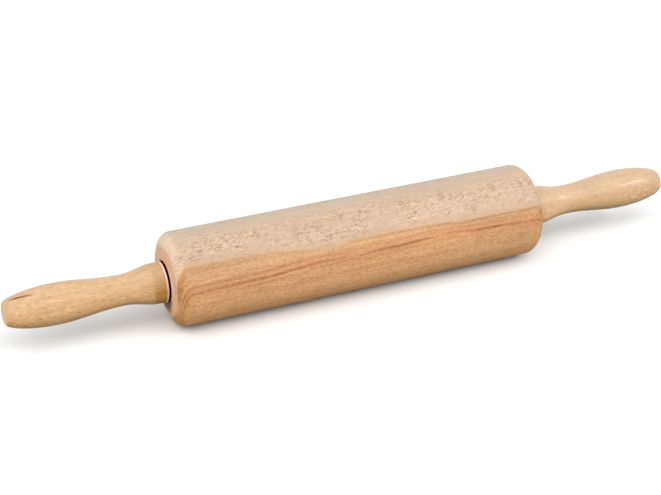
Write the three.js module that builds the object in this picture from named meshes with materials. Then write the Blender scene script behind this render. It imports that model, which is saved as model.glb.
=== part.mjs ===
// A wooden rolling pin: a turned barrel that spins on a steel axle between two turned handles.
// Millimetres, +Z up, +X along the axle. The barrel rests on z = 0, under the middle of the axle.
import * as THREE from 'three';

// Barrel
const BARREL_RADIUS = 30;
const BARREL_LENGTH = 254;
const BARREL_CORNER_RADIUS = 7;
const BARREL_CROWN_RISE = 1.7;
const BARREL_CROWN_START = THREE.MathUtils.degToRad(60);
const BARREL_BORE_CLEARANCE = 2;

// Handles, from the collar at the barrel to the tip
const COLLAR_LENGTH = 8.8;
const FLARE_LENGTH = 18.2;
const GRIP_LENGTH = 42;
const NOSE_LENGTH = 31;
const RIM_RADIUS = 13.1;
const RIM_ROUNDING = 1.2;
const COLLAR_END_RADIUS = 12.65;
const FLARE_START_ANGLE = THREE.MathUtils.degToRad(9);
const NECK_RADIUS = 9.7;
const SWELL_RADIUS = 12.85;
const TIP_FLAT_RADIUS = 6.2;
const TIP_ROUNDING = 3;
// Shares of a stretch over which its curve keeps the direction that it has at that end
const FLARE_EASE = 0.3;
const NECK_EASE = 0.4;
const SWELL_EASE = 0.4;
const NOSE_EASE = 0.52;

// Axle
const AXLE_RADIUS = 4;
const AXLE_CHAMFER = 1;
const AXLE_SEAT_LENGTH = 45;
const GLUE_GROOVE_WIDTH = 2;
const GLUE_GROOVE_DEPTH = 0.5;
const GLUE_GROOVE_PITCH = 8;

// Bushes and thrust washers
const BUSH_WALL = 3.5;
const BUSH_SLEEVE_LENGTH = 20;
const BUSH_FLANGE_RADIUS = 13.1;
const BUSH_FLANGE_THICKNESS = 3;
const BUSH_LEAD_IN = 0.8;
const WASHER_RADIUS = 8;
const WASHER_THICKNESS = 1.6;

// Clearances
const FIT_GAP = 0.3;
const RUNNING_GAP = 0.25;
const HANDLE_GAP = 1.2;
const END_FLOAT = 0.6;
const FLOAT_STOP_GAP = 0.1;

// Fineness of the turned shapes: a flat of the barrel faces down, so that it lies still
const BARREL_FACETS = 32;
const HANDLE_FACETS = 32;
const METAL_FACETS = 24;
const CURVE_STEPS = 6;
// Few steps on the barrel's end keep its first slope well apart from the flat that it lies on
const BARREL_END_STEPS = 2;

// Sizes that follow from the ones above. A face is a place along the axis, from the handle's inner face.
const AXIS_HEIGHT = BARREL_RADIUS * Math.cos(Math.PI / BARREL_FACETS);
const BARREL_END = BARREL_LENGTH / 2;
const HANDLE_START = BARREL_END + HANDLE_GAP;
const HANDLE_LENGTH = COLLAR_LENGTH + FLARE_LENGTH + GRIP_LENGTH + NOSE_LENGTH;
const RUNNING_BORE_RADIUS = AXLE_RADIUS + RUNNING_GAP;
const BUSH_SLEEVE_RADIUS = RUNNING_BORE_RADIUS + BUSH_WALL;
const WASHER_FACE = -END_FLOAT - FLOAT_STOP_GAP;
const FLANGE_FACE = WASHER_FACE - WASHER_THICKNESS - FIT_GAP;
const FLANGE_SINK = -FLANGE_FACE - HANDLE_GAP;

const beech = new THREE.MeshStandardMaterial({ color: 0xdcb58c, roughness: 0.45, metalness: 0 });
const handleBeech = new THREE.MeshStandardMaterial({ color: 0xddb483, roughness: 0.45, metalness: 0 });
const steel = new THREE.MeshStandardMaterial({ color: 0xb4b6b8, roughness: 0.35, metalness: 1 });
const darkNylon = new THREE.MeshStandardMaterial({ color: 0x1c1512, roughness: 0.55, metalness: 0 });

// Points of an outline are (radius, distance along the axis).
const point = (radius, along) => new THREE.Vector2(radius, along);

// Turns an outline about the X axis, with a flat of the turned shape facing down.
function turned(outline, facets) {
  const geometry = new THREE.LatheGeometry(outline, facets, Math.PI / facets);
  return geometry.rotateZ(-Math.PI / 2);
}

// An outline that is the same at both ends, from the one that holds for its far end.
function bothEnds(farEnd) {
  const nearEnd = farEnd.map(({ x, y }) => point(x, -y)).reverse();
  return [...nearEnd, ...farEnd];
}

const closed = (outline) => [...outline, outline[0].clone()];

// The barrel's end: round corner, crown, the bush's seat and socket, then the axle's bore.
function barrelEndOutline() {
  const cornerRadial = BARREL_RADIUS - BARREL_CORNER_RADIUS;
  const cornerAlong = BARREL_END - BARREL_CROWN_RISE - BARREL_CORNER_RADIUS;
  const crownRadial = cornerRadial + BARREL_CORNER_RADIUS * Math.cos(BARREL_CROWN_START);
  const crownAlong = cornerAlong + BARREL_CORNER_RADIUS * Math.sin(BARREL_CROWN_START);
  const crownTurn = crownRadial - (BARREL_END - crownAlong) * Math.tan(BARREL_CROWN_START);
  const seatRadius = BUSH_FLANGE_RADIUS + FIT_GAP;
  const seatFloor = BARREL_END - FLANGE_SINK - BUSH_FLANGE_THICKNESS - FIT_GAP;
  const socketRadius = BUSH_SLEEVE_RADIUS + FIT_GAP;
  const socketFloor = seatFloor - BUSH_SLEEVE_LENGTH;
  const boreRadius = AXLE_RADIUS + BARREL_BORE_CLEARANCE;

  const outline = new THREE.Path();
  outline.absarc(cornerRadial, cornerAlong, BARREL_CORNER_RADIUS, 0, BARREL_CROWN_START, false);
  outline.quadraticCurveTo(crownTurn, BARREL_END, seatRadius, BARREL_END);
  outline.lineTo(seatRadius, seatFloor);
  outline.lineTo(socketRadius, seatFloor);
  outline.lineTo(socketRadius, socketFloor);
  outline.lineTo(boreRadius, socketFloor);
  return outline.getPoints(BARREL_END_STEPS);
}

// The handle, from the bottom of its blind bore out round the rim and along to the tip's middle.
function handleOutline() {
  const boreRadius = AXLE_RADIUS + FIT_GAP;
  const neckAlong = COLLAR_LENGTH + FLARE_LENGTH;
  const swellAlong = neckAlong + GRIP_LENGTH;
  const collarSlope = (RIM_RADIUS - COLLAR_END_RADIUS) / COLLAR_LENGTH;
  const flareEase = FLARE_EASE * FLARE_LENGTH;
  const flareDrop = flareEase * Math.tan(FLARE_START_ANGLE);

  const outline = new THREE.Path();
  outline.moveTo(0, AXLE_SEAT_LENGTH + FIT_GAP);
  outline.lineTo(boreRadius, AXLE_SEAT_LENGTH + FIT_GAP);
  outline.lineTo(boreRadius, 0);
  outline.lineTo(RIM_RADIUS - RIM_ROUNDING, 0);
  outline.quadraticCurveTo(RIM_RADIUS, 0, RIM_RADIUS - collarSlope * RIM_ROUNDING, RIM_ROUNDING);
  outline.lineTo(COLLAR_END_RADIUS, COLLAR_LENGTH);
  outline.bezierCurveTo(
    COLLAR_END_RADIUS - flareDrop, COLLAR_LENGTH + flareEase,
    NECK_RADIUS, neckAlong - NECK_EASE * FLARE_LENGTH,
    NECK_RADIUS, neckAlong,
  );
  outline.bezierCurveTo(
    NECK_RADIUS, neckAlong + NECK_EASE * GRIP_LENGTH,
    SWELL_RADIUS, swellAlong - SWELL_EASE * GRIP_LENGTH,
    SWELL_RADIUS, swellAlong,
  );
  outline.bezierCurveTo(
    SWELL_RADIUS, swellAlong + NOSE_EASE * NOSE_LENGTH,
    TIP_FLAT_RADIUS + TIP_ROUNDING, HANDLE_LENGTH,
    TIP_FLAT_RADIUS, HANDLE_LENGTH,
  );
  outline.lineTo(0, HANDLE_LENGTH);
  return outline.getPoints(CURVE_STEPS);
}

// The axle's end: a plain shank, glue grooves inside the handle and a chamfered tip.
function axleEndOutline() {
  const tip = HANDLE_START + AXLE_SEAT_LENGTH;
  const grooves = Math.floor(AXLE_SEAT_LENGTH / GLUE_GROOVE_PITCH) - 1;
  const outline = [];
  for (let k = grooves; k > 0; k -= 1) {
    const start = tip - k * GLUE_GROOVE_PITCH;
    outline.push(point(AXLE_RADIUS, start));
    outline.push(point(AXLE_RADIUS - GLUE_GROOVE_DEPTH, start));
    outline.push(point(AXLE_RADIUS - GLUE_GROOVE_DEPTH, start + GLUE_GROOVE_WIDTH));
    outline.push(point(AXLE_RADIUS, start + GLUE_GROOVE_WIDTH));
  }
  outline.push(point(AXLE_RADIUS, tip - AXLE_CHAMFER));
  outline.push(point(AXLE_RADIUS - AXLE_CHAMFER, tip));
  outline.push(point(0, tip));
  return outline;
}

// A flanged bush: its flange faces the handle and its sleeve runs into the barrel.
function bushOutline() {
  const shoulder = FLANGE_FACE - BUSH_FLANGE_THICKNESS;
  const sleeveEnd = shoulder - BUSH_SLEEVE_LENGTH;
  return closed([
    point(RUNNING_BORE_RADIUS, FLANGE_FACE),
    point(RUNNING_BORE_RADIUS, sleeveEnd),
    point(BUSH_SLEEVE_RADIUS - BUSH_LEAD_IN, sleeveEnd),
    point(BUSH_SLEEVE_RADIUS, sleeveEnd + BUSH_LEAD_IN),
    point(BUSH_SLEEVE_RADIUS, shoulder),
    point(BUSH_FLANGE_RADIUS, shoulder),
    point(BUSH_FLANGE_RADIUS, FLANGE_FACE),
  ]);
}

// A thrust washer, lying against the bush's flange. The handle stops it at the end of the float.
function washerOutline() {
  const back = WASHER_FACE - WASHER_THICKNESS;
  return closed([
    point(RUNNING_BORE_RADIUS, WASHER_FACE),
    point(RUNNING_BORE_RADIUS, back),
    point(WASHER_RADIUS, back),
    point(WASHER_RADIUS, WASHER_FACE),
  ]);
}

function named(name, geometry, material) {
  const mesh = new THREE.Mesh(geometry, material.clone());
  mesh.name = name;
  return mesh;
}

// What stands at one end of the pin. The group's own origin is the middle of the handle's inner face.
function pinEnd(side) {
  const end = new THREE.Group();
  end.add(named(`handle_${side}`, turned(handleOutline(), HANDLE_FACETS), handleBeech));
  end.add(named(`washer_${side}`, turned(washerOutline(), METAL_FACETS), steel));
  end.add(named(`bush_${side}`, turned(bushOutline(), METAL_FACETS), darkNylon));
  return end;
}

const rollingPin = new THREE.Group();
rollingPin.position.z = AXIS_HEIGHT;

rollingPin.add(named('barrel', turned(closed(bothEnds(barrelEndOutline())), BARREL_FACETS), beech));
rollingPin.add(named('axle', turned(bothEnds(axleEndOutline()), METAL_FACETS), steel));

const rightEnd = pinEnd('right');
rightEnd.position.x = HANDLE_START;
rollingPin.add(rightEnd);

const leftEnd = pinEnd('left');
leftEnd.position.x = -HANDLE_START;
leftEnd.rotation.z = Math.PI;
rollingPin.add(leftEnd);

export default rollingPin;
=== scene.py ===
"""A turned beech rolling pin, its axle and bearings, and a plain studio around it."""

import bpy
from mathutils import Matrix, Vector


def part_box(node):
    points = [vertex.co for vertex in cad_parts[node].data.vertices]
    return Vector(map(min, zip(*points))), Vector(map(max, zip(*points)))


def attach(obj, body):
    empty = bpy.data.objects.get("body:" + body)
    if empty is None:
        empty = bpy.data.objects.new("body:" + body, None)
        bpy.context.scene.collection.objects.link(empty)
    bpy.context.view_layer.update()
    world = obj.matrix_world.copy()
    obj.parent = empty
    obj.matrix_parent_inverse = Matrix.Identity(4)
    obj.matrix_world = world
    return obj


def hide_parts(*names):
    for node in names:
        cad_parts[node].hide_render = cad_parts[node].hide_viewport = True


bl_info = {
    "name": "Rolling Pin",
    "version": (1, 0, 0),
    "blender": (4, 5, 0),
    "location": "3D View > Sidebar > Rolling Pin",
    "description": "Turns a beech rolling pin, fits its hardware and lights it on a plain floor",
    "category": "Object",
}

from functools import cached_property
from math import cos, pi, radians, sin, tan, tau
from typing import NamedTuple

import bmesh
import bpy
from bpy.props import FloatProperty, FloatVectorProperty, PointerProperty
from mathutils import Euler, Vector
from mathutils.geometry import interpolate_bezier

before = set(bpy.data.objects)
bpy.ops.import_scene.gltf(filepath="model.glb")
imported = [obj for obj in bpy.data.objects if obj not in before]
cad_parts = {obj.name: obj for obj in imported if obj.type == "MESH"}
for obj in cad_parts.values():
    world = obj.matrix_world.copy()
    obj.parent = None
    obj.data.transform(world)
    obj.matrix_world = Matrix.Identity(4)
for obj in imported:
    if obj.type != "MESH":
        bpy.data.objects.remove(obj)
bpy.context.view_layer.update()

MM = 0.001

# The pin's ends, and the way along X that leads outwards at each
ENDS = {"right": 1.0, "left": -1.0}

# Flats round the frame's turned solids, which stand inside the true rounds
WOOD_FACETS = 32
METAL_FACETS = 24

# Places that the frame gives. Those along the pin are at its right end
AXIS_HEIGHT = (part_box("axle")[0].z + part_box("axle")[1].z) / 2
BARREL_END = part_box("barrel")[1].x
HANDLE_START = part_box("handle_right")[0].x
HANDLE_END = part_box("handle_right")[1].x
AXLE_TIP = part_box("axle")[1].x
FLANGE_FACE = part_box("bush_right")[1].x
SLEEVE_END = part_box("bush_right")[0].x
WASHER_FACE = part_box("washer_right")[1].x
WASHER_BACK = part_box("washer_right")[0].x

# Clearances between the pieces
FIT_GAP = 0.3 * MM
RUNNING_GAP = 0.25 * MM
BORE_CLEARANCE = 2 * MM

# Shares of a stretch over which the handle's curve keeps the direction that it has at that end
FLARE_EASE = 0.3
NECK_EASE = 0.4
SWELL_EASE = 0.4
NOSE_EASE = 0.52

# The axle's glue grooves, and the broken edges of the small pieces
GLUE_GROOVES = 4
GROOVE_PITCH = 8 * MM
GROOVE_WIDTH = 2 * MM
GROOVE_DEPTH = 0.5 * MM
AXLE_CHAMFER = 1 * MM
BUSH_LEAD_IN = 0.8 * MM
EDGE_BREAK = 0.25 * MM

# The drying split near the left tip: places along the pin, and turns from the front up to the top
SPLIT_END = "left"
SPLIT_OUTER = (ENDS[SPLIT_END] * (HANDLE_START + 96 * MM), radians(86))
SPLIT_INNER = (ENDS[SPLIT_END] * (HANDLE_START + 81 * MM), radians(71))
SPLIT_WIDTH = 2.1 * MM
SPLIT_DEPTH = 0.7 * MM
SPLIT_MARGIN = 2 * MM
SPLIT_CUTS = 3
# A power below 1 brings the split's widest place nearer to the tip
SPLIT_TAPER = 0.7
# The split's darkness is this many times its share of the full depth, up to all dark
SPLIT_SHADE = 1.6
SPLIT_ATTRIBUTE = "split_depth"

# Fineness of the turned meshes
WOOD_STEPS = 160
METAL_STEPS = 96
CURVE_STEPS = 18
CORNER_STEPS = 14
RIM_STEPS = 8
BARREL_LENGTHS = 24
WELD = 1e-7
SHARP_ANGLE = radians(38)

# Depths of the finishes' fine relief
WOOD_RELIEF = 0.05 * MM
STEEL_RELIEF = 0.01 * MM
NYLON_RELIEF = 0.02 * MM

# Places in the finishes are in millimetres, from the middle of the axle or from a handle's inner face
BARREL_REACH = BARREL_END / MM
HANDLE_REACH = (HANDLE_END - HANDLE_START) / MM

# Radii at which a turn about the axis becomes a distance on the wood
BARREL_GIRTH = 30.0
HANDLE_GIRTH = 11.5

# The year rings: their width, and how much further from the tree's heart than the axis the seen wood lies
RING_WIDTH = 2.4
GRAIN_DEPTH = 20.0

# The heart of the barrel's tree lies behind the barrel
BARREL_HEART = (0.0, 50.4, 22.0)
# Distance from the heart at which the pale side ends, at places along the barrel
PALE_EDGE = ((-127, 73.2), (-74, 73.4), (-54, 74.9), (-36, 76.2), (-24, 76.7), (-9, 75.7), (26, 75.7),
             (51, 76.2), (70, 76.8), (127, 76.6))
# Distance from the heart of the main dark streak, in the same way
STREAK = ((-127, 82.2), (-74, 81.5), (-30, 80.6), (13, 80.6), (48, 79.8), (76, 80.6), (127, 81.0))
# How much nearer to the heart both lie on the barrel's back, and the depth over which that comes about
EDGE_SHIFT = 2.5
STREAK_SHIFT = -1.0
BACK_DEPTH = 20.0
# Curled flecks in the pale side: place along the barrel, radius, and turn from the top in degrees
CURLS = ((-102, 1.7, -30), (-15, 2.0, -24), (27, 2.8, -24), (55, 2.4, -24), (62, 1.7, -25), (91, 3.2, -25),
         (111, 2.7, -26), (118, 1.9, -29))
# Slants of the rays in the pale side, which cross each other, and how far they sway
RISING_SLANT = radians(16)
FALLING_SLANT = radians(-24)
RAY_SWAY = 1.6

# Soft changes along the barrel, each from nothing at its first place to all at its second
LEFT_PART = (-20.0, -75.0)
RIGHT_PART = (35.0, 75.0)
ROUND_CORNER = (BARREL_REACH - 7.5, BARREL_REACH - 3.0)
END_FACE = (BARREL_REACH - 1.4, BARREL_REACH - 0.5)
# Where the painted highlight lies about the bush's seat
SEAT_HIGHLIGHT = (BARREL_REACH - 0.35, BARREL_REACH - 0.05)

# Soft changes along a handle, in the same way
# Where the painted highlight on the collar's rim lies
RIM = (1.6, 0.9)
# Where the painted shadow on the collar fades out
COLLAR = (10.2, 7.4)
# Where the painted highlight on the flare fades out
FLARE = (32.0, 14.0)
NOSE = (66.0, 86.0)
TIP = (HANDLE_REACH - 0.7, HANDLE_REACH - 0.2)
# A painted highlight line where the collar ends: its place and its width
COLLAR_LINE = (8.2, 1.8)


class HandleTraits(NamedTuple):
    """What sets one handle's wood apart: its tree's heart, its flecks, its flare's painted highlight and its
    varnish.
    """

    heart: tuple
    seed: int
    flecks_above: float
    flecks_below: float
    flare_highlight: float
    gloss: float


HANDLE_TRAITS = {
    "right": HandleTraits(heart=(0.0, 26.0, -60.0), seed=30, flecks_above=0.16, flecks_below=0.80,
                          flare_highlight=0.3, gloss=0.45),
    "left": HandleTraits(heart=(0.0, -38.0, 52.0), seed=50, flecks_above=0.26, flecks_below=0.50,
                         flare_highlight=0.0, gloss=0.02),
}

# The lights' places, and the widths and heights of their soft boxes, in metres
LIGHTS = {
    "key": (Vector((-2.40, -2.40, 3.90)), (6.0, 6.0)),
    "fill": (Vector((2.60, -2.60, 3.40)), (5.0, 5.0)),
    "sheen": (Vector((1.20, -0.86, 0.95)), (0.7, 0.25)),
}
# Heights of a direction between which the surroundings change from the horizon to the sky
HORIZON_TOP = 0.12
SKY_START = 0.40
# How far a direction points backwards where the backdrop starts, and where it is brightest
BACKDROP_EDGE = 0.3
BACKDROP_MIDDLE = 0.8


# Properties


def true_radius(node, facets):
    """The radius of the round that a turned solid of the frame stands for."""
    low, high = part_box(node)
    return (high.z - low.z) / 2 / cos(pi / facets)


def size(name, description, default):
    """A length that a user may change."""
    return FloatProperty(name=name, description=description, default=default, min=0.0, precision=5,
                         unit="LENGTH", subtype="DISTANCE")


def angle(name, description, default):
    """An angle that a user may change."""
    return FloatProperty(name=name, description=description, default=default, subtype="ANGLE")


def colour(name, description, default):
    """A scene-linear colour that a user may change."""
    return FloatVectorProperty(name=name, description=description, default=default, size=3,
                               min=0.0, max=1.0, subtype="COLOR")


def brightness(name, description, default):
    """A brightness of the surroundings that a user may change."""
    return FloatProperty(name=name, description=description, default=default, min=0.0)


def power(name, description, default):
    """A light's power that a user may change."""
    return FloatProperty(name=name, description=description, default=default, min=0.0, unit="POWER")


class PinSizes(bpy.types.PropertyGroup):
    """Sizes of the turned pieces."""

    barrel_radius: size("Barrel radius", "Radius of the rolling surface",
                        true_radius("barrel", WOOD_FACETS))
    barrel_corner: size("Barrel corner", "Radius of the barrel's round corner", 7 * MM)
    barrel_crown: size("Crown rise", "How far the barrel's end stands out past its corner", 1.7 * MM)
    crown_start: angle("Crown start", "Turn of the corner at which the crown takes over", radians(60))
    collar_length: size("Collar length", "Length of the handle's plain collar", 8.8 * MM)
    flare_length: size("Flare length", "Length from the collar to the neck", 18.2 * MM)
    grip_length: size("Grip length", "Length from the neck to the swell", 42 * MM)
    rim_radius: size("Rim radius", "Radius of the collar at the barrel", 13.1 * MM)
    rim_rounding: size("Rim rounding", "Rounding of the collar's edge", 1.2 * MM)
    collar_radius: size("Collar radius", "Radius of the collar where the flare starts", 12.65 * MM)
    neck_radius: size("Neck radius", "Radius of the handle's thinnest place", 9.7 * MM)
    swell_radius: size("Swell radius", "Radius of the grip's thickest place", 12.85 * MM)
    tip_radius: size("Tip radius", "Radius of the flat on the handle's tip", 6.2 * MM)
    tip_rounding: size("Tip rounding", "Reach of the curve into the tip's flat", 3 * MM)
    flare_angle: angle("Flare angle", "Slope with which the flare leaves the collar", radians(9))
    axle_radius: size("Axle radius", "Radius of the steel axle", true_radius("axle", METAL_FACETS))
    bush_sleeve: size("Bush sleeve", "Radius of the bush's sleeve", 7.75 * MM)
    bush_flange: size("Bush flange", "Radius of the bush's flange",
                      true_radius("bush_right", METAL_FACETS))
    flange_thickness: size("Flange thickness", "Thickness of the bush's flange", 3 * MM)
    washer_radius: size("Washer radius", "Radius of the thrust washer",
                        true_radius("washer_right", METAL_FACETS))


class PinLooks(bpy.types.PropertyGroup):
    """Colours of the finishes."""

    pale: colour("Pale beech", "The barrel's pale side", (0.418, 0.305, 0.220))
    # Painted reflection: a grey that stands for the bright surroundings reflected over the barrel's top and
    # back
    reflected_grey: colour("Greyed beech", "The pale side over the top and back", (0.392, 0.316, 0.243))
    fleck: colour("Flecks", "Ray flecks in the pale wood", (0.200, 0.105, 0.058))
    straw: colour("Straw beech", "Band under the edge of the pale side", (0.398, 0.235, 0.117))
    orange: colour("Warm beech", "The barrel's warm side above the streak", (0.445, 0.254, 0.129))
    flush: colour("Flushed beech", "Reddish wood about the streak", (0.436, 0.220, 0.105))
    tan: colour("Tan beech", "The barrel's warm side below the streak", (0.428, 0.233, 0.106))
    deep: colour("Deep beech", "Dark streaks and late wood on the warm side", (0.215, 0.085, 0.028))
    rust: colour("Rusty beech", "Warm wood on the barrel's round corners", (0.500, 0.236, 0.078))
    end_grain: colour("End grain", "Sanded end grain of the barrel and the tips", (0.550, 0.337, 0.196))
    # Painted highlight: a pale pink used about the barrel's seat and on the right handle's flare
    painted_highlight: colour("Worn edge", "Pale edge of the barrel's end about the bush", (0.720, 0.480, 0.380))
    # Painted highlight: a pale colour along the collar's rounded rim
    rim: colour("Worn rim", "Rounded edge of the handles' collars", (0.86, 0.64, 0.52))
    # Painted shade: a tint that darkens the barrel round its lower front
    painted_lower_shade: colour("Lower side", "Tint of the barrel round its lower side", (0.69, 0.66, 0.43))
    # Painted shade: a tint that darkens the handles round their lower side
    painted_grip_shade: colour("Lower grip", "Tint of the handles round their lower side", (0.57, 0.59, 0.48))
    # Painted shade: a golden tint that darkens and warms the handles from the top downwards
    golden_shade: colour("Golden grip", "Tint of the handles' front", (0.86, 0.76, 0.58))
    left_light: colour("Left handle", "Light wood of the left handle", (0.551, 0.374, 0.227))
    left_dark: colour("Left handle's grain", "Dark wood of the left handle", (0.321, 0.180, 0.081))
    # Painted shadow: a tint for the barrel's shadow on the left collar, deepest at its lower front
    left_collar: colour("Left collar", "Tint of the left handle's collar", (0.72, 0.58, 0.28))
    right_light: colour("Right handle", "Light wood of the right handle", (0.502, 0.357, 0.234))
    right_dark: colour("Right handle's grain", "Dark wood of the right handle", (0.320, 0.207, 0.114))
    # Painted shadow on the right collar, so faint that it hardly shows
    right_collar: colour("Right collar", "Tint of the right handle's collar", (1.0, 0.98, 0.96))
    split: colour("Split", "Wood inside the drying split", (0.170, 0.052, 0.012))
    # Painted shadow: a tint for the handle's shadow on the end grain below the bush
    painted_handle_shadow: colour("Oil stain", "Tint of end grain soaked with oil from the bush", (0.20, 0.17, 0.12))
    steel: colour("Steel", "Ground steel of the axle", (0.520, 0.525, 0.530))
    # Partly painted shade: old oil on the washers, darkened red to stand for the shade in the gap
    oiled_gap_shade: colour("Oiled steel", "Old oil on the steel of the washers", (0.120, 0.030, 0.015))
    # Partly painted shade: the bushes are dark nylon, and their dark red stands for the shade in the gap
    # beside the handles
    nylon: colour("Nylon", "Dark nylon of the bushes", (0.055, 0.006, 0.002))


class PinStage(bpy.types.PropertyGroup):
    """The camera, the lights and the floor."""

    camera_aim: FloatVectorProperty(
        name="Camera aim", description="Point that the camera looks at", size=3, precision=5,
        default=(-0.01376, 0.00428, AXIS_HEIGHT - 0.00276), unit="LENGTH", subtype="TRANSLATION")
    camera_distance: size("Camera distance", "Distance from the camera to its aim", 1.1008)
    camera_azimuth: angle("Camera azimuth", "Turn of the camera about the vertical", radians(-23.251))
    camera_elevation: angle("Camera elevation", "Height of the camera's view", radians(28.572))
    camera_lens: FloatProperty(name="Focal length", description="Focal length of the camera's lens",
                               default=93.23, min=1.0, unit="CAMERA")
    sky: brightness("Sky", "Brightness of the surroundings overhead", 0.45)
    horizon: brightness("Horizon", "Brightness of the surroundings low down", 0.65)
    backdrop: brightness("Backdrop", "How much brighter the surroundings are behind the pin", 2.4)
    key_power: power("Key light", "Power of the large light on the left", 320.0)
    fill_power: power("Fill light", "Power of the large light on the right", 112.0)
    sheen_power: power("Sheen light", "Power of the small light on the right", 9.0)
    floor_colour: colour("Floor", "Colour of the plain floor", (0.76, 0.76, 0.76))
    floor_size: size("Floor size", "Width of the floor", 16.0)


# Finishes


class Finish:
    """A material's node tree, with a method for each kind of node that the finishes use."""

    def __init__(self, name):
        self.material = bpy.data.materials.new(name)
        self.material.use_nodes = True
        self.tree = self.material.node_tree
        self.shader = self.tree.nodes["Principled BSDF"]

    def feed(self, node, inputs):
        """Links a node's inputs, by name or number, to other sockets, or sets their own values."""
        for key, value in inputs.items():
            socket = node.inputs[key]
            if isinstance(value, bpy.types.NodeSocket):
                self.tree.links.new(value, socket)
            elif hasattr(value, "__len__") and socket.type == "RGBA":
                socket.default_value = (*value, 1.0)
            else:
                socket.default_value = value

    def node(self, kind, inputs, **settings):
        """A new node with these settings and inputs."""
        made = self.tree.nodes.new(kind)
        for key, value in settings.items():
            setattr(made, key, value)
        self.feed(made, inputs)
        return made

    def place(self, start=(0.0, 0.0, AXIS_HEIGHT), along=1.0):
        """Object coordinates in millimetres from a point, with X running to the left if along is -1."""
        scale = Vector((along, 1.0, 1.0)) / MM
        coordinates = self.node("ShaderNodeTexCoord", {}).outputs["Object"]
        inputs = {"Vector": coordinates, "Scale": scale, "Location": -Vector(start) * scale}
        return self.node("ShaderNodeMapping", inputs, vector_type="POINT").outputs["Vector"]

    def parts(self, vector):
        return self.node("ShaderNodeSeparateXYZ", {"Vector": vector}).outputs

    def vector(self, x, y, z):
        return self.node("ShaderNodeCombineXYZ", {"X": x, "Y": y, "Z": z}).outputs["Vector"]

    def maths(self, operation, *values, clamp=False):
        inputs = dict(enumerate(values))
        return self.node("ShaderNodeMath", inputs, operation=operation, use_clamp=clamp).outputs["Value"]

    def total(self, first, *others):
        for other in others:
            first = self.maths("ADD", first, other)
        return first

    def product(self, first, *others):
        for other in others:
            first = self.maths("MULTIPLY", first, other)
        return first

    def weighed(self, *pairs):
        """The sum of values, each times its own weight."""
        return self.total(*(self.product(value, weight) for value, weight in pairs))

    def length(self, first, second):
        """Length of a straight line with these parts along two axes."""
        return self.maths("SQRT", self.total(self.product(first, first), self.product(second, second)))

    def between(self, part, low, high):
        """A value that goes from low to high as a part goes from 0 to 1."""
        return self.maths("MULTIPLY_ADD", part, high - low, low)

    def swing(self, part, reach):
        """Turns a part of 0 to 1 into a swing to both sides of zero."""
        return self.between(part, -reach, reach)

    def step(self, value, start, end):
        """0 before start and 1 past end, with a soft change between. End may be the lower one."""
        inputs = {"Value": value, "From Min": start, "From Max": end}
        return self.node("ShaderNodeMapRange", inputs, interpolation_type="SMOOTHSTEP").outputs["Result"]

    def line(self, value, middle, width):
        """1 where a value is at the middle, falling to 0 over the width."""
        apart = self.maths("ABSOLUTE", self.maths("SUBTRACT", value, middle))
        return self.step(apart, width, 0.0)

    def course(self, value, points):
        """A smooth course through (place, height) points, both in millimetres."""
        places, heights = zip(*points)
        first, reach = places[0], places[-1] - places[0]
        low, high = min(heights), max(heights)
        along = self.maths("DIVIDE", self.maths("SUBTRACT", value, first), reach, clamp=True)
        made = self.node("ShaderNodeFloatCurve", {"Value": along})
        curve_points = made.mapping.curves[0].points
        shares = [((place - first) / reach, (height - low) / (high - low)) for place, height in points]
        curve_points[0].location = shares[0]
        curve_points[1].location = shares[-1]
        for share in shares[1:-1]:
            curve_points.new(*share)
        made.mapping.update()
        return self.between(made.outputs["Value"], low, high)

    def stretched(self, vector, sizes, seed):
        """A vector in units of these sizes in millimetres, moved to a seed's own part of the texture."""
        inputs = {0: vector, 1: [1.0 / length for length in sizes], 2: (3.7 * seed, 5.3 * seed, 7.9 * seed)}
        return self.node("ShaderNodeVectorMath", inputs, operation="MULTIPLY_ADD").outputs["Vector"]

    def noise(self, vector, sizes, detail=2.0, roughness=0.5, seed=0.0):
        """Noise of 0 to 1 whose lumps have these sizes in millimetres."""
        inputs = {"Vector": self.stretched(vector, sizes, seed), "Scale": 1.0, "Detail": detail,
                  "Roughness": roughness}
        return self.node("ShaderNodeTexNoise", inputs).outputs["Fac"]

    def flecks(self, vector, sizes, part, seed, core=0.22, rim=0.42):
        """Scattered lens shapes, one in a part of the cells of these sizes in millimetres."""
        inputs = {"Vector": self.stretched(vector, sizes, seed), "Scale": 1.0}
        cells = self.node("ShaderNodeTexVoronoi", inputs, feature="F1").outputs
        chance = self.parts(cells["Color"])[0]
        shape = self.step(cells["Distance"], rim, core)
        return self.product(shape, self.step(chance, 1.0 - part, 1.0 - 0.6 * part))

    def apart(self, vector, point):
        """Distance of a vector from a point, in millimetres."""
        return self.node("ShaderNodeVectorMath", {0: vector, 1: point}, operation="DISTANCE").outputs["Value"]

    def mix(self, factor, first, second, blend="MIX"):
        """The first colour, blended with the second one as far as the factor says."""
        inputs = {0: factor, 6: first, 7: second}
        return self.node("ShaderNodeMix", inputs, data_type="RGBA", blend_type=blend).outputs[2]

    def tinted(self, factor, face, tint):
        """A colour multiplied by a tint as far as the factor says."""
        return self.mix(factor, face, self.mix(1.0, face, tint, blend="MULTIPLY"))

    def shaded(self, face, factor):
        """A colour made lighter or darker by a factor."""
        inputs = {0: face, "Scale": factor}
        return self.node("ShaderNodeVectorMath", inputs, operation="SCALE").outputs["Vector"]

    def relief(self, height, depth):
        """Bumps of that depth in metres, from a height of 0 to 1."""
        bump = self.node("ShaderNodeBump", {"Distance": depth, "Height": height})
        self.feed(self.shader, {"Normal": bump.outputs["Normal"]})


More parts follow.
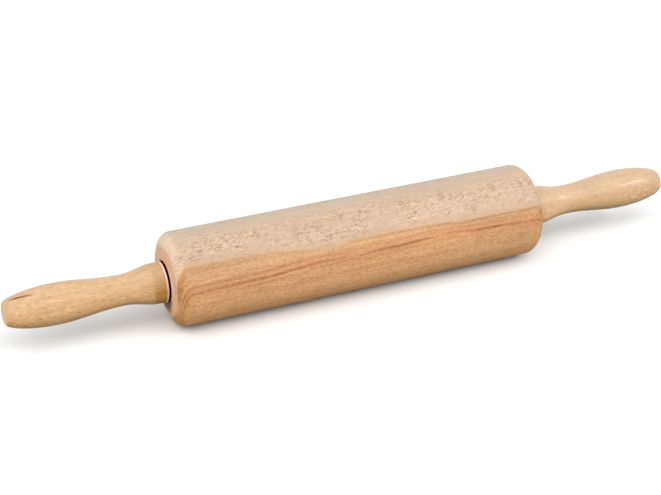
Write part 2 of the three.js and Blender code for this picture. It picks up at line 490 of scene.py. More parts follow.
class Wood(Finish):
    """Beech with its own grain: along the fibres, out from the tree's heart, and round it."""

    def __init__(self, name, looks, heart, seed, girth, two_faced=False, **placing):
        super().__init__(name)
        self.looks = looks
        self.heart = heart
        self.seed = seed
        self.spot = self.place(**placing)
        self.x, self.y, self.z = self.parts(self.spot)[:3]
        # Turns run from the top, and are negative at the front
        self.turn = self.maths("ARCTAN2", self.y, self.z)
        self.from_top = self.maths("ABSOLUTE", self.turn)
        self.round_axis = self.product(self.turn, girth)
        self.out = self.length(self.y, self.z)
        self.skin = self.lay_skin(slant=0.0, sway=0.5)
        # A board shows the same figure on both of its faces, so a turned one's back may follow its front
        across = self.product(self.maths("ABSOLUTE", self.y), -1.0) if two_faced else self.y
        forward, upward = self.from_heart(across)
        self.ripple = self.swing(self.noise(self.spot, (32, 6, 6), seed=seed), 0.5)
        self.ring = self.total(self.length(forward, upward), self.ripple)
        round_heart = self.product(self.maths("ARCTAN2", upward, forward), Vector(heart).length + GRAIN_DEPTH)
        self.grain = self.vector(self.x, self.ring, round_heart)

    def from_heart(self, across):
        """Distances forwards and upwards from the tree's heart, for a place across the wood."""
        return self.maths("SUBTRACT", self.heart[1], across), self.maths("SUBTRACT", self.z, self.heart[2])

    def lay_skin(self, slant, sway):
        """Places on the turned face: along, round it from the top to the back, and out from the axis."""
        swaying = self.swing(self.noise(self.spot, (6, 6, 6), seed=self.seed + 1), sway)
        leaning = self.maths("SUBTRACT", swaying, self.product(self.x, tan(slant)))
        return self.vector(self.x, self.total(self.round_axis, leaning), self.out)

    def turning(self, start, end):
        """A soft change from 0 to 1 between two turns, in degrees from the top, negative at the front."""
        return self.step(self.turn, radians(start), radians(end))

    def lowering(self, start, end):
        """The same kind of change on the front and the back alike."""
        return self.step(self.from_top, radians(start), radians(end))

    def at_turn(self, middle, width):
        """1 at a turn, falling to 0 over the width, in degrees from the top, negative at the front."""
        return self.line(self.turn, radians(middle), radians(width))

    @cached_property
    def fibres(self):
        """Fine lines along the grain, 0 to 1."""
        return self.noise(self.grain, (16, 0.9, 0.9), detail=3.0, roughness=0.65, seed=self.seed + 2)

    @cached_property
    def bands(self):
        """Broader stripes along the grain, 0 to 1."""
        return self.noise(self.grain, (80, 2.8, 2.8), seed=self.seed + 3)

    @cached_property
    def clouds(self):
        """Broad soft patches that shade the wood a little, about 1."""
        return self.between(self.noise(self.spot, (45, 18, 18), seed=self.seed + 4), 0.94, 1.06)

    @cached_property
    def late(self):
        """The darker end of each year's ring, 0 to 1."""
        drift = self.swing(self.noise(self.spot, (130, 25, 25), detail=1.0, seed=self.seed), 1.6)
        year = self.maths("FRACT", self.maths("DIVIDE", self.total(self.ring, drift), RING_WIDTH))
        return self.product(self.step(year, 0.2, 0.85), self.step(year, 1.0, 0.9))

    @cached_property
    def arcs(self):
        """Uneven stripes that follow the year rings, 0 to 1."""
        uneven = self.swing(self.noise(self.spot, (5, 5, 5), detail=1.0, seed=self.seed + 9), 1.6)
        ring = self.total(self.length(*self.from_heart(self.y)), self.ripple, uneven)
        return self.noise(self.vector(self.x, ring, self.round_axis), (25, 1.6, 12), detail=3.0,
                          seed=self.seed + 8)

    def speckle(self, length, width):
        """Short fine dashes along the grain, 0 to 1."""
        return self.noise(self.skin, (length, width, 3.0), detail=1.0, seed=self.seed + 7)

    def patches(self, vector, seed):
        """Soft-edged patches in which finer marks show, 0 to 1."""
        return self.step(self.noise(vector, (15, 8, 40), seed=seed), 0.34, 0.56)

    def lightened(self, darkness, part):
        """How much lighter the wood is where its darkness falls below nothing."""
        return self.maths("MAXIMUM", self.product(darkness, -part), 0.0)

    def end_grain(self):
        """Colour of sanded end grain, with the year rings as arcs."""
        rings = self.product(self.step(self.arcs, 0.4, 0.8), 0.20)
        return self.mix(rings, self.looks.end_grain, self.looks.deep)

    def pored(self, face, seed):
        """End grain with its fine open pores."""
        pores = self.noise(self.spot, (1.4, 0.9, 0.9), seed=seed)
        return self.shaded(face, self.between(pores, 0.8, 1.2))

    def varnished(self, face, height, roughness, gloss):
        """Wires the wood's colour, its satin varnish and its fine relief."""
        self.feed(self.shader, {"Base Color": face, "Roughness": roughness, "Specular IOR Level": 0.10,
                                "Coat Weight": gloss, "Coat Roughness": 0.22})
        self.relief(height, WOOD_RELIEF)
        return self.material


class BarrelWood(Wood):
    """The barrel's beech: a pale, flecked side above a warm side with dark streaks."""

    def __init__(self, looks):
        super().__init__("barrel_beech", looks, BARREL_HEART, seed=1, girth=BARREL_GIRTH, two_faced=True)
        self.leaning = self.lay_skin(RISING_SLANT, RAY_SWAY)
        self.outward = self.maths("ABSOLUTE", self.x)
        self.corner = self.step(self.outward, *ROUND_CORNER)
        self.left_part = self.step(self.x, *LEFT_PART)
        self.right_part = self.step(self.x, *RIGHT_PART)
        self.past_edge = self.past(PALE_EDGE, EDGE_SHIFT)
        self.past_streak = self.past(STREAK, STREAK_SHIFT)
        self.near_edge = self.step(self.past_edge, -4.5, -0.5)

    def past(self, points, back_shift):
        """Distance outwards past a line of the figure, which lies a little elsewhere on the back."""
        beyond = self.maths("SUBTRACT", self.ring, self.course(self.x, points))
        on_back = self.step(self.y, 0.0, BACK_DEPTH)
        return self.total(beyond, self.product(on_back, back_shift))

    def streaks(self):
        """The warm side's dark streaks, and the dark line under the edge on the right."""
        broken = self.step(self.noise(self.grain, (30, 3, 3), seed=11), 0.32, 0.62)
        broken = self.maths("MAXIMUM", broken, self.product(self.left_part, 0.75))
        main = self.product(self.line(self.past_streak, 0.0, 0.7), broken)
        upper = self.product(self.line(self.past_streak, -1.7, 0.8), self.between(self.left_part, 0.3, 1.0))
        lower = self.product(self.line(self.past_streak, 1.3, 0.6), self.step(self.bands, 0.45, 0.7))
        edge = self.product(self.line(self.past_edge, 0.5, 0.55), self.right_part,
                            self.step(self.bands, 0.3, 0.55))
        return self.weighed((main, 0.75), (upper, 0.34), (lower, 0.30), (edge, 0.50))

    def dashes(self):
        """Dashes along the warm side, fainter above the streak."""
        long_dashes = self.flecks(self.skin, (5.2, 1.25, 4.0), 0.6, seed=12)
        short_dashes = self.flecks(self.skin, (3.0, 1.05, 4.0), 0.6, seed=13)
        dashes = self.weighed((long_dashes, 0.26), (short_dashes, 0.24))
        return self.product(dashes, self.between(self.step(self.past_streak, -1.0, 2.0), 0.4, 1.0))

    def warm_darkness(self):
        """All that darkens the warm side. Below nothing it lightens it."""
        end_arcs = self.product(self.corner, self.at_turn(-92, 40),
                                self.between(self.step(self.arcs, 0.46, 0.64), 0.12, 0.82))
        grain = self.total(self.product(self.late, 0.08), self.swing(self.bands, 0.22),
                           self.swing(self.fibres, 0.46), self.swing(self.speckle(2.3, 0.75), 0.55))
        return self.total(self.streaks(), self.dashes(), end_arcs, grain)

    def warm_side(self):
        """Straw under the edge, orange, then reddish wood about the streak and tan below."""
        looks = self.looks
        darkness = self.warm_darkness()
        above = self.step(self.past_streak, 0.5, -1.5)
        below = self.step(self.past_streak, 0.0, 3.0)
        straw_end = self.between(self.left_part, 1.6, 5.2)
        face = self.mix(self.step(self.past_edge, 0.6, straw_end), looks.straw, looks.orange)
        face = self.mix(self.step(self.past_streak, -3.2, -0.6), face, looks.flush)
        face = self.mix(self.step(self.past_streak, 0.2, 2.2), face, looks.tan)
        face = self.mix(self.product(self.right_part, below, 0.06), face, looks.pale)
        face = self.mix(self.product(self.corner, 0.6), face, looks.rust)
        face = self.mix(self.maths("ADD", darkness, 0.04, clamp=True), face, looks.deep)
        light = self.weighed((self.product(self.corner, self.at_turn(-115, 24)), 0.3),
                             (self.product(self.corner, self.right_part), -0.12),
                             (self.product(above, self.right_part), -0.09),
                             (self.product(above, self.left_part), -0.04))
        return self.shaded(face, self.total(1.0, light, self.lightened(darkness, 0.7)))

    @cached_property
    def lively(self):
        """Where the pale side's figure shows: in clusters, and hardly at the top, the bottom and the edge."""
        quiet = self.total(self.at_turn(-2, 22), self.line(self.from_top, pi, radians(14)))
        return self.product(self.between(self.patches(self.leaning, seed=14), 0.25, 1.0),
                            self.between(quiet, 1.0, 0.15), self.between(self.near_edge, 1.0, 0.3),
                            self.between(self.right_part, 1.0, 0.75))

    @cached_property
    def rays(self):
        """Fine rays that rise along the pale side, and fall in some places, 0 to 1."""
        falling_skin = self.lay_skin(FALLING_SLANT, RAY_SWAY)
        rising = self.noise(self.leaning, (3.2, 0.8, 8.0), detail=1.0, seed=15)
        falling = self.noise(falling_skin, (3.2, 0.9, 8.0), detail=1.0, seed=16)
        turned_over = self.step(self.noise(self.leaning, (9, 7, 40), detail=1.0, seed=17), 0.56, 0.60)
        return self.maths("MULTIPLY_ADD", turned_over, self.maths("SUBTRACT", falling, rising), rising)

    def curls(self):
        """Two arcs about each curl in the pale side, open towards the left, 0 to 1."""
        wobble = self.swing(self.noise(self.skin, (1.5, 1.5, 9.0), detail=1.0, seed=19), 0.9)
        marks = 0.0
        for along, radius, degrees in CURLS:
            middle = (along, radians(degrees) * BARREL_GIRTH, BARREL_GIRTH)
            apart = self.total(self.apart(self.skin, middle), wobble)
            outer = self.line(apart, radius, 0.8)
            inner = self.product(self.line(apart, 0.4 * radius, 0.6), 0.7)
            closed_end = self.step(self.x, along - 0.7 * radius, along + 0.3 * radius)
            curl = self.product(self.maths("MAXIMUM", outer, inner), closed_end)
            marks = self.maths("MAXIMUM", marks, curl)
        return marks

    @cached_property
    def ray_flecks(self):
        """Dark flecks where the pale side is lively, and the curls among them, 0 to 1."""
        large = self.flecks(self.leaning, (6.4, 1.7, 9.0), 0.4, seed=20, rim=0.38)
        small = self.step(self.rays, 0.46, 0.36)
        scattered = self.product(self.maths("MAXIMUM", small, self.product(large, 0.8)), self.lively)
        return self.maths("MAXIMUM", scattered, self.product(self.curls(), 0.85))

    def pale_side(self):
        """Pale wood with its flecks and bright rays. A painted reflection greys it over the top, painted
        light brightens it from the upper front over the top, and a painted highlight lies on its left corner.
        """
        looks = self.looks
        above_back = self.turning(50, 24)
        # Painted reflection of the bright surroundings, greying the pale side over the top
        reflecting_top = self.product(self.turning(-22, 18), above_back)
        # Painted light, a little brighter from the upper front over the top
        lit = self.product(self.turning(-45, -12), above_back)
        face = self.mix(reflecting_top, looks.pale, looks.reflected_grey)
        face = self.mix(self.product(self.near_edge, 0.35), face, looks.straw)
        face = self.mix(self.product(self.late, 0.06), face, looks.flush)
        face = self.mix(self.product(self.ray_flecks, 0.62), face, looks.fleck)
        bright_rays = self.product(self.step(self.rays, 0.53, 0.64), self.lively)
        # Painted highlight along the round corner at the left end
        left_corner_highlight = self.product(self.corner, self.left_part)
        light = self.weighed((bright_rays, 0.16), (left_corner_highlight, 0.40), (lit, 0.06))
        return self.shaded(face, self.total(1.0, light, self.swing(self.fibres, 0.22),
                                            self.swing(self.bands, 0.08)))

    def bored_end(self):
        """End grain, with a painted highlight about the bush's seat and a painted shadow of the handle
        running down below the bush.
        """
        # Painted highlight on the seat's edge, strongest at the front
        at_seat = self.step(self.outward, *SEAT_HIGHLIGHT)
        painted_highlight = self.product(at_seat, self.between(self.at_turn(-65, 55), 0.1, 0.9))
        face = self.mix(painted_highlight, self.end_grain(), self.looks.painted_highlight)
        # Painted shadow of the handle on the end face, widening downwards below the bush
        widening = self.lowering(130, 160)
        handle_shadow = self.step(self.out, self.between(widening, 18.0, 23.0), self.between(widening, 12.8, 16.0))
        handle_shadow = self.product(handle_shadow, self.lowering(113, 132))
        return self.pored(self.tinted(handle_shadow, face, self.looks.painted_handle_shadow), seed=18)


def barrel_wood(looks):
    """The barrel's two sides, painted shade over its lower front, and its ends, in one finish."""
    wood = BarrelWood(looks)
    pale_part = wood.step(wood.total(wood.past_edge, wood.swing(wood.fibres, 0.9)), 0.6, -0.5)
    # Painted shade, darker round the barrel's lower front
    low_front = wood.product(wood.turning(-100, -140), wood.turning(-176, -152))
    end_face = wood.step(wood.outward, *END_FACE)
    face = wood.mix(pale_part, wood.warm_side(), wood.pale_side())
    face = wood.shaded(wood.tinted(low_front, face, looks.painted_lower_shade), wood.clouds)
    face = wood.mix(end_face, face, wood.bored_end())
    height = wood.weighed((wood.fibres, 0.7), (wood.ray_flecks, -0.3))
    roughness = wood.total(0.52, wood.swing(wood.fibres, 0.08), wood.product(end_face, 0.06))
    return wood.varnished(face, height, roughness, gloss=0.03)


class HandleWood(Wood):
    """One handle's beech, flecked above and below. Its places run from the inner face out to the tip."""

    def __init__(self, end, looks):
        self.traits = HANDLE_TRAITS[end]
        super().__init__(f"{end}_handle_beech", looks, self.traits.heart, self.traits.seed, HANDLE_GIRTH,
                         start=(ENDS[end] * HANDLE_START, 0.0, AXIS_HEIGHT), along=ENDS[end])
        self.light = getattr(looks, f"{end}_light")
        self.dark = getattr(looks, f"{end}_dark")
        self.collar = getattr(looks, f"{end}_collar")
        self.dashes = self.flecks(self.skin, (5.0, 0.72, 4.0), 0.55, seed=self.seed + 5)
        self.round_side = self.lowering(50, 100)
        self.low_front = self.turning(-25, -105)

    def grained(self):
        """Light wood with dark grain, flecks and bright glints."""
        speckle = self.speckle(3.0, 0.56)
        lively = self.between(self.patches(self.skin, seed=self.seed + 6), 0.3, 1.0)
        specks = self.product(self.step(speckle, 0.46, 0.34), lively)
        glints = self.product(self.step(speckle, 0.54, 0.66), lively)
        lower = self.product(self.round_side, self.between(self.step(self.x, *NOSE), 0.45, 1.0))
        flecking = self.between(lower, self.traits.flecks_above, self.traits.flecks_below)
        marks = self.product(self.total(specks, self.dashes, self.product(glints, -1.1)), flecking)
        darkness = self.total(0.24, self.product(self.late, 0.05), self.swing(self.bands, 0.28),
                              self.swing(self.fibres, 0.32), marks)
        face = self.mix(self.maths("MULTIPLY", darkness, 1.0, clamp=True), self.light, self.dark)
        return self.shaded(face, self.total(self.clouds, self.lightened(darkness, 0.6)))

    def toned(self, face):
        """A painted highlight on the flare, and painted shade that warms and darkens the grip from the top
        downwards and most round its lower side.
        """
        # Painted highlight on the flare and along the collar's end
        on_flare = self.total(self.step(self.x, *FLARE), self.product(self.line(self.x, *COLLAR_LINE), 0.8))
        flare_highlight = self.product(on_flare, self.between(self.round_side, 0.15, 1.0), self.traits.flare_highlight)
        face = self.mix(flare_highlight, face, self.looks.painted_highlight)
        # Painted shade, warmer and darker from the top downwards, and darker again round the lower side
        face = self.tinted(self.lowering(0, 125), face, self.looks.golden_shade)
        return self.tinted(self.lowering(100, 132), face, self.looks.painted_grip_shade)

    def ended(self, face):
        """A painted shadow on the collar, a painted highlight on its rim, and the tip's end grain."""
        # Painted shadow of the barrel on the collar, deepest at its lower front
        on_collar = self.step(self.total(self.x, self.swing(self.fibres, 2.4)), *COLLAR)
        barrel_shadow = self.product(on_collar, self.between(self.low_front, 0.12, 0.96))
        face = self.tinted(barrel_shadow, face, self.collar)
        # Painted highlight on the rim, strongest over the top
        on_rim = self.step(self.x, *RIM)
        face = self.mix(self.product(on_rim, self.between(self.low_front, 0.8, 0.45)), face, self.looks.rim)
        return self.mix(self.step(self.x, *TIP), face, self.pored(self.end_grain(), self.seed + 10))

    def split(self, face):
        """Darker wood inside the drying split."""
        depth = self.node("ShaderNodeAttribute", {}, attribute_name=SPLIT_ATTRIBUTE)
        return self.mix(depth.outputs["Fac"], face, self.looks.split)


def handle_wood(end, looks):
    """The finish of one handle."""
    wood = HandleWood(end, looks)
    face = wood.ended(wood.toned(wood.grained()))
    if end == SPLIT_END:
        face = wood.split(face)
    height = wood.weighed((wood.fibres, 0.7), (wood.dashes, -0.3))
    roughness = wood.between(wood.fibres, 0.40, 0.56)
    # The varnish shines along the fibres, and is worn off the lower side
    shine = wood.total(0.35, wood.step(wood.fibres, 0.44, 0.62))
    gloss = wood.product(wood.lowering(115, 75), shine, wood.traits.gloss)
    return wood.varnished(face, height, roughness, gloss)


def ground_steel(name, shade):
    """Steel of one shade, with fine grinding marks round the axle."""
    steel = Finish(name)
    place = steel.place()
    marks = steel.noise(place, (0.12, 3.0, 3.0), detail=3.0)
    stains = steel.noise(place, (9, 5, 5))
    tone = steel.total(0.9, steel.swing(marks, 0.10), steel.product(stains, 0.12))
    steel.feed(steel.shader, {"Base Color": steel.shaded(shade, tone), "Metallic": 1.0,
                              "Roughness": steel.between(marks, 0.20, 0.40)})
    steel.relief(marks, STEEL_RELIEF)
    return steel.material


def dark_nylon(looks):
    """Moulded nylon with a fine spark-eroded skin, its dark red standing for the shade in the gap."""
    nylon = Finish("dark_nylon")
    place = nylon.place()
    skin = nylon.noise(place, (0.35, 0.35, 0.35))
    flow = nylon.noise(place, (4, 6, 6))
    nylon.feed(nylon.shader, {"Base Color": nylon.shaded(looks.nylon, nylon.total(0.7, flow)),
                              "Roughness": nylon.between(skin, 0.5, 0.7), "Specular IOR Level": 0.0})
    nylon.relief(skin, NYLON_RELIEF)
    return nylon.material


def plain_floor(stage):
    """A pale, matt floor."""
    floor = Finish("pale_floor")
    patches = floor.noise(floor.place(), (400, 400, 400))
    face = floor.shaded(stage.floor_colour, floor.between(patches, 0.99, 1.01))
    floor.feed(floor.shader, {"Base Color": face, "Roughness": 0.9, "Specular IOR Level": 0.1})
    return floor.material


# Turning


def turned(outline, steps):
    """A mesh turned about the pin's axis from an outline of (along, radius) points."""
    work = bmesh.new()
    points = [work.verts.new((along, 0.0, AXIS_HEIGHT + radius)) for along, radius in outline]
    edges = [work.edges.new(pair) for pair in zip(points, points[1:])]
    bmesh.ops.spin(work, geom=points + edges, cent=(0.0, 0.0, AXIS_HEIGHT), axis=(1.0, 0.0, 0.0),
                   angle=tau, steps=steps, use_merge=True)
    bmesh.ops.remove_doubles(work, verts=work.verts, dist=WELD)
    bmesh.ops.recalc_face_normals(work, faces=work.faces)
    return work


def at_end(outline, end):
    """An outline of the pin's right end, placed at one of its ends."""
    return [(ENDS[end] * along, radius) for along, radius in outline]


def both_ends(outline, middle=()):
    """An outline that is the same at both ends, with the points between them."""
    return [*reversed(at_end(outline, "left")), *middle, *outline]


def closed(outline):
    return [*outline, outline[0]]


def curve(start, first_pull, last_pull, end, steps=CURVE_STEPS):
    """Points of a Bezier curve after its start, as (along, radius)."""
    knots = (Vector((*point, 0.0)) for point in (start, first_pull, last_pull, end))
    return [(point.x, point.y) for point in interpolate_bezier(*knots, steps + 1)[1:]]


def made_piece(name, work, material, body, node):
    """A finished piece that rides on a body, stands for a node and takes a slot's finish."""
    mesh = bpy.data.meshes.new(name)
    for face in work.faces:
        face.smooth = True
    work.to_mesh(mesh)
    work.free()
    if not mesh.polygons:
        raise RuntimeError(f"{name} has no faces")
    mesh.set_sharp_from_angle(angle=SHARP_ANGLE)
    mesh.materials.append(material)
    piece = bpy.data.objects.new(name, mesh)
    bpy.context.scene.collection.objects.link(piece)
    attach(piece, body)
    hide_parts(node)
    return piece


def barrel_end(sizes):
    """Outline of the barrel's right end: round corner, crown, the bush's seat and socket, the bore."""
    corner = sizes.barrel_corner
    corner_along = BARREL_END - sizes.barrel_crown - corner
    corner_out = sizes.barrel_radius - corner
    turns = [sizes.crown_start * k / CORNER_STEPS for k in range(CORNER_STEPS + 1)]
    outline = [(corner_along + corner * sin(turn), corner_out + corner * cos(turn)) for turn in turns]
    along, radius = outline[-1]
    crown_turn = (BARREL_END, radius - (BARREL_END - along) * tan(sizes.crown_start))
    seat = (BARREL_END, sizes.bush_flange + FIT_GAP)
    # A curve with one pull, written with two
    pulls = [(end[0] + (crown_turn[0] - end[0]) * 2 / 3, end[1] + (crown_turn[1] - end[1]) * 2 / 3)
             for end in (outline[-1], seat)]
    outline += curve(outline[-1], *pulls, seat)
    seat_floor = FLANGE_FACE - sizes.flange_thickness - FIT_GAP
    socket = sizes.bush_sleeve + FIT_GAP
    socket_floor = SLEEVE_END - FIT_GAP
    outline += [(seat_floor, seat[1]), (seat_floor, socket), (socket_floor, socket)]
    outline.append((socket_floor, sizes.axle_radius + BORE_CLEARANCE))
    return outline


def handle_outline(sizes):
    """Outline of the right handle, from the floor of its bore round the rim to the tip's middle."""
    bore = sizes.axle_radius + FIT_GAP
    bore_floor = AXLE_TIP + FIT_GAP
    collar = (HANDLE_START + sizes.collar_length, sizes.collar_radius)
    neck = (collar[0] + sizes.flare_length, sizes.neck_radius)
    swell = (neck[0] + sizes.grip_length, sizes.swell_radius)
    tip = (HANDLE_END, sizes.tip_radius)
    nose = HANDLE_END - swell[0]
    slope = (sizes.rim_radius - sizes.collar_radius) / sizes.collar_length
    rim_start = (HANDLE_START, sizes.rim_radius - sizes.rim_rounding)
    rim_corner = (HANDLE_START, sizes.rim_radius)
    rim_end = (HANDLE_START + sizes.rim_rounding, sizes.rim_radius - slope * sizes.rim_rounding)
    flare_pull = FLARE_EASE * sizes.flare_length
    outline = [(bore_floor, 0.0), (bore_floor, bore), (HANDLE_START, bore), rim_start]
    outline += curve(rim_start, rim_corner, rim_corner, rim_end, RIM_STEPS)
    outline.append(collar)
    outline += curve(collar, (collar[0] + flare_pull, collar[1] - flare_pull * tan(sizes.flare_angle)),
                     (neck[0] - NECK_EASE * sizes.flare_length, neck[1]), neck)
    outline += curve(neck, (neck[0] + NECK_EASE * sizes.grip_length, neck[1]),
                     (swell[0] - SWELL_EASE * sizes.grip_length, swell[1]), swell)
    outline += curve(swell, (swell[0] + NOSE_EASE * nose, swell[1]),
                     (tip[0], tip[1] + sizes.tip_rounding), tip)
    outline.append((HANDLE_END, 0.0))
    return outline


def near_split(point):
    """Share of the way along the drying split, and distances from it: sideways, and out from the axis."""
    share = (point.x - SPLIT_OUTER[0]) / (SPLIT_INNER[0] - SPLIT_OUTER[0])
    turn = SPLIT_OUTER[1] + (SPLIT_INNER[1] - SPLIT_OUTER[1]) * share
    line = Vector((cos(turn), sin(turn)))
    across = Vector((-point.y, point.z - AXIS_HEIGHT))
    return share, across.cross(line), across.dot(line)


def refine_split(work):
    """Divides the faces of the left handle about the drying split."""
    low, high = SPLIT_OUTER[0] - SPLIT_MARGIN, SPLIT_INNER[0] + SPLIT_MARGIN
    patch = set()
    for face in work.faces:
        middle = face.calc_center_median()
        _, sideways, outward = near_split(middle)
        if low < middle.x < high and abs(sideways) < SPLIT_MARGIN and outward > SPLIT_MARGIN:
            patch.update(face.edges)
    if not patch:
        raise RuntimeError("the split found no faces")
    bmesh.ops.subdivide_edges(work, edges=list(patch), cuts=SPLIT_CUTS, use_grid_fill=True)


def open_split(work):
    """Sinks the drying split into the left handle and notes its depth for the finish."""
    depth = work.verts.layers.float.new(SPLIT_ATTRIBUTE)
    refine_split(work)
    for vert in work.verts:
        share, sideways, outward = near_split(vert.co)
        if not 0.0 < share < 1.0 or outward < SPLIT_MARGIN:
            continue
        half_width = SPLIT_WIDTH / 2 * sin(pi * share ** SPLIT_TAPER)
        fullness = max(0.0, 1.0 - abs(sideways) / half_width) if half_width > 0.0 else 0.0
        vert[depth] = min(1.0, SPLIT_SHADE * fullness)
        from_axis = Vector((0.0, vert.co.y, vert.co.z - AXIS_HEIGHT)).normalized()
        vert.co -= from_axis * SPLIT_DEPTH * fullness


def axle_end(sizes):
    """Outline of the axle's right end: plain shank, glue grooves and a chamfered tip."""
    radius = sizes.axle_radius
    floor = radius - GROOVE_DEPTH
    outline = []
    for k in range(GLUE_GROOVES, 0, -1):
        start = AXLE_TIP - k * GROOVE_PITCH
        end = start + GROOVE_WIDTH
        outline += [(start, radius), (start + GROOVE_DEPTH, floor)]
        outline += [(end - GROOVE_DEPTH, floor), (end, radius)]
    outline += [(AXLE_TIP - AXLE_CHAMFER, radius), (AXLE_TIP, radius - AXLE_CHAMFER), (AXLE_TIP, 0.0)]
    return outline


def bush_outline(sizes):
    """Outline of the right bush: flange towards the handle, sleeve into the barrel."""
    bore = sizes.axle_radius + RUNNING_GAP
    sleeve, flange = sizes.bush_sleeve, sizes.bush_flange
    shoulder = FLANGE_FACE - sizes.flange_thickness
    outline = [(FLANGE_FACE, bore + EDGE_BREAK), (FLANGE_FACE - EDGE_BREAK, bore), (SLEEVE_END, bore)]
    outline += [(SLEEVE_END, sleeve - BUSH_LEAD_IN), (SLEEVE_END + BUSH_LEAD_IN, sleeve)]
    outline += [(shoulder, sleeve), (shoulder, flange)]
    outline += [(FLANGE_FACE - EDGE_BREAK, flange), (FLANGE_FACE, flange - EDGE_BREAK)]
    return closed(outline)


def washer_outline(sizes):
    """Outline of the right thrust washer, with its outer edges broken."""
    bore = sizes.axle_radius + RUNNING_GAP
    radius = sizes.washer_radius
    outline = [(WASHER_FACE, bore), (WASHER_BACK, bore)]
    outline += [(WASHER_BACK, radius - EDGE_BREAK), (WASHER_BACK + EDGE_BREAK, radius)]
    outline += [(WASHER_FACE - EDGE_BREAK, radius), (WASHER_FACE, radius - EDGE_BREAK)]
    return closed(outline)


# Operators


class TurnBarrel(bpy.types.Operator):
    """Turn the barrel with its crowned, bored ends"""

    bl_idname = "rolling_pin.turn_barrel"
    bl_label = "Turn Barrel"

    def execute(self, context):
        end = barrel_end(context.scene.pin_sizes)
        reach, radius = end[0]
        lengths = [(reach * (2 * k / BARREL_LENGTHS - 1), radius) for k in range(1, BARREL_LENGTHS)]
        work = turned(closed(both_ends(end, lengths)), WOOD_STEPS)
        wood = barrel_wood(context.scene.pin_looks)
        made_piece("barrel_turned", work, wood, "barrel", "barrel")
        return {"FINISHED"}


class TurnHandles(bpy.types.Operator):
    """Turn both handles and open the drying split in the left one"""

    bl_idname = "rolling_pin.turn_handles"
    bl_label = "Turn Handles"

    def execute(self, context):
        outline = handle_outline(context.scene.pin_sizes)
        for end in ENDS:
            work = turned(at_end(outline, end), WOOD_STEPS)
            if end == SPLIT_END:
                open_split(work)
            wood = handle_wood(end, context.scene.pin_looks)
            made_piece(f"handle_{end}_turned", work, wood, "handles", f"handle_{end}")
        return {"FINISHED"}


class FitAxle(bpy.types.Operator):
    """Fit the grooved steel axle"""

    bl_idname = "rolling_pin.fit_axle"
    bl_label = "Fit Axle"

    def execute(self, context):
        work = turned(both_ends(axle_end(context.scene.pin_sizes)), METAL_STEPS)
        steel = ground_steel("ground_steel", context.scene.pin_looks.steel)
        made_piece("axle_rod", work, steel, "handles", "axle")
        return {"FINISHED"}


class FitBushes(bpy.types.Operator):
    """Press the flanged bushes into the barrel's ends"""

    bl_idname = "rolling_pin.fit_bushes"
    bl_label = "Fit Bushes"

    def execute(self, context):
        outline = bush_outline(context.scene.pin_sizes)
        nylon = dark_nylon(context.scene.pin_looks)
        for end in ENDS:
            work = turned(at_end(outline, end), METAL_STEPS)
            made_piece(f"bush_{end}_moulded", work, nylon, "barrel", f"bush_{end}")
        return {"FINISHED"}


class FitWashers(bpy.types.Operator):
    """Slip the thrust washers onto the axle"""

    bl_idname = "rolling_pin.fit_washers"
    bl_label = "Fit Washers"

    def execute(self, context):
        outline = washer_outline(context.scene.pin_sizes)
        steel = ground_steel("oiled_steel", context.scene.pin_looks.oiled_gap_shade)
        for end in ENDS:
            work = turned(at_end(outline, end), METAL_STEPS)
            made_piece(f"washer_{end}_pressed", work, steel, "washers", f"washer_{end}")
        return {"FINISHED"}


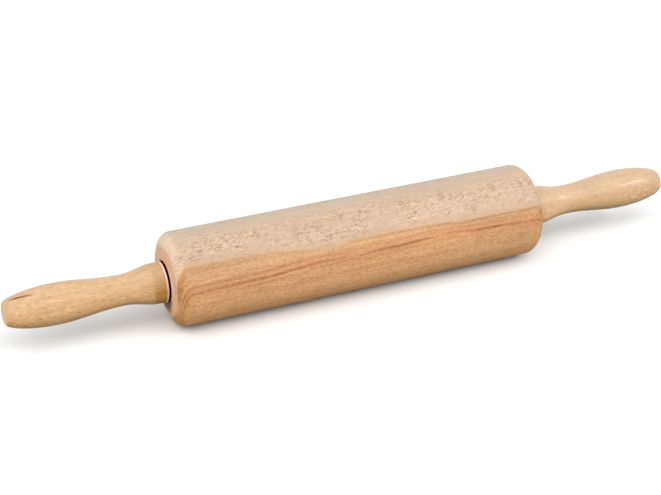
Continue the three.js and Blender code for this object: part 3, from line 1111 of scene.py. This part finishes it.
class SetStage(bpy.types.Operator):
    """Lay the floor, light it softly and aim the camera"""

    bl_idname = "rolling_pin.set_stage"
    bl_label = "Set Stage"

    def execute(self, context):
        scene = context.scene
        stage = scene.pin_stage
        self.lay_floor(scene, stage)
        self.surround(scene, stage)
        for name, (place, box) in LIGHTS.items():
            self.hang_light(scene, name, place, box, getattr(stage, f"{name}_power"))
        self.aim_camera(scene, stage)
        return {"FINISHED"}

    def lay_floor(self, scene, stage):
        """A floor that touches the barrel's true round."""
        work = bmesh.new()
        bmesh.ops.create_grid(work, x_segments=1, y_segments=1, size=stage.floor_size / 2)
        touch = AXIS_HEIGHT - scene.pin_sizes.barrel_radius
        bmesh.ops.translate(work, verts=work.verts, vec=(0.0, 0.0, touch))
        mesh = bpy.data.meshes.new("floor")
        work.to_mesh(mesh)
        work.free()
        mesh.materials.append(plain_floor(stage))
        floor = bpy.data.objects.new("floor", mesh)
        scene.collection.objects.link(floor)

    def surround(self, scene, stage):
        """White surroundings, bright low down, dimmer overhead and brightest at the back."""
        world = bpy.data.worlds.new("white_surroundings")
        world.use_nodes = True
        tree = world.node_tree
        coordinates = tree.nodes.new("ShaderNodeTexCoord")
        parts = tree.nodes.new("ShaderNodeSeparateXYZ")
        tree.links.new(coordinates.outputs["Generated"], parts.inputs["Vector"])
        ranges = (("Z", HORIZON_TOP, SKY_START, stage.horizon, stage.sky),
                  ("Y", BACKDROP_EDGE, BACKDROP_MIDDLE, 1.0, stage.backdrop))
        strength = tree.nodes.new("ShaderNodeMath")
        strength.operation = "MULTIPLY"
        for factor, (part, *limits) in zip(strength.inputs, ranges):
            change = tree.nodes.new("ShaderNodeMapRange")
            change.interpolation_type = "SMOOTHSTEP"
            for name, value in zip(("From Min", "From Max", "To Min", "To Max"), limits):
                change.inputs[name].default_value = value
            tree.links.new(parts.outputs[part], change.inputs["Value"])
            tree.links.new(change.outputs["Result"], factor)
        background = tree.nodes["Background"]
        background.inputs["Color"].default_value = (1.0, 1.0, 1.0, 1.0)
        tree.links.new(strength.outputs["Value"], background.inputs["Strength"])
        scene.world = world
        scene.view_settings.view_transform = "Standard"

    def hang_light(self, scene, name, place, box, watts):
        """A soft box that faces the origin and that the camera doesn't see."""
        light = bpy.data.lights.new(name, "AREA")
        light.shape = "RECTANGLE"
        light.size, light.size_y = box
        light.energy = watts
        lamp = bpy.data.objects.new(name, light)
        lamp.location = place
        lamp.rotation_euler = (-place).to_track_quat("-Z", "Y").to_euler()
        lamp.visible_camera = False
        scene.collection.objects.link(lamp)

    def aim_camera(self, scene, stage):
        data = bpy.data.cameras.new("camera")
        data.lens = stage.camera_lens
        camera = bpy.data.objects.new("camera", data)
        turn = Euler((pi / 2 - stage.camera_elevation, 0.0, stage.camera_azimuth))
        back = turn.to_matrix() @ Vector((0.0, 0.0, stage.camera_distance))
        camera.rotation_euler = turn
        camera.location = Vector(stage.camera_aim) + back
        scene.collection.objects.link(camera)
        scene.camera = camera


OPERATORS = (TurnBarrel, TurnHandles, FitAxle, FitBushes, FitWashers, SetStage)


class RollingPinPanel(bpy.types.Panel):
    """Lists the pin's operators and what they read"""

    bl_idname = "VIEW3D_PT_rolling_pin"
    bl_label = "Rolling Pin"
    bl_space_type = "VIEW_3D"
    bl_region_type = "UI"
    bl_category = "Rolling Pin"

    def draw(self, context):
        for operator in OPERATORS:
            self.layout.operator(operator.bl_idname)
        for group in (context.scene.pin_sizes, context.scene.pin_looks, context.scene.pin_stage):
            box = self.layout.box()
            for name in group.bl_rna.properties.keys():
                if name not in {"rna_type", "name"}:
                    box.prop(group, name)


GROUPS = {"pin_sizes": PinSizes, "pin_looks": PinLooks, "pin_stage": PinStage}


def register():
    for made in (*GROUPS.values(), *OPERATORS, RollingPinPanel):
        bpy.utils.register_class(made)
    for name, group in GROUPS.items():
        setattr(bpy.types.Scene, name, PointerProperty(type=group))


def unregister():
    for name in GROUPS:
        delattr(bpy.types.Scene, name)
    for made in reversed((*GROUPS.values(), *OPERATORS, RollingPinPanel)):
        bpy.utils.unregister_class(made)


def main():
    register()
    bpy.ops.rolling_pin.turn_barrel()
    bpy.ops.rolling_pin.turn_handles()
    bpy.ops.rolling_pin.fit_axle()
    bpy.ops.rolling_pin.fit_bushes()
    bpy.ops.rolling_pin.fit_washers()
    bpy.ops.rolling_pin.set_stage()
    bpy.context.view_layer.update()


if __name__ == "__main__":
    main()
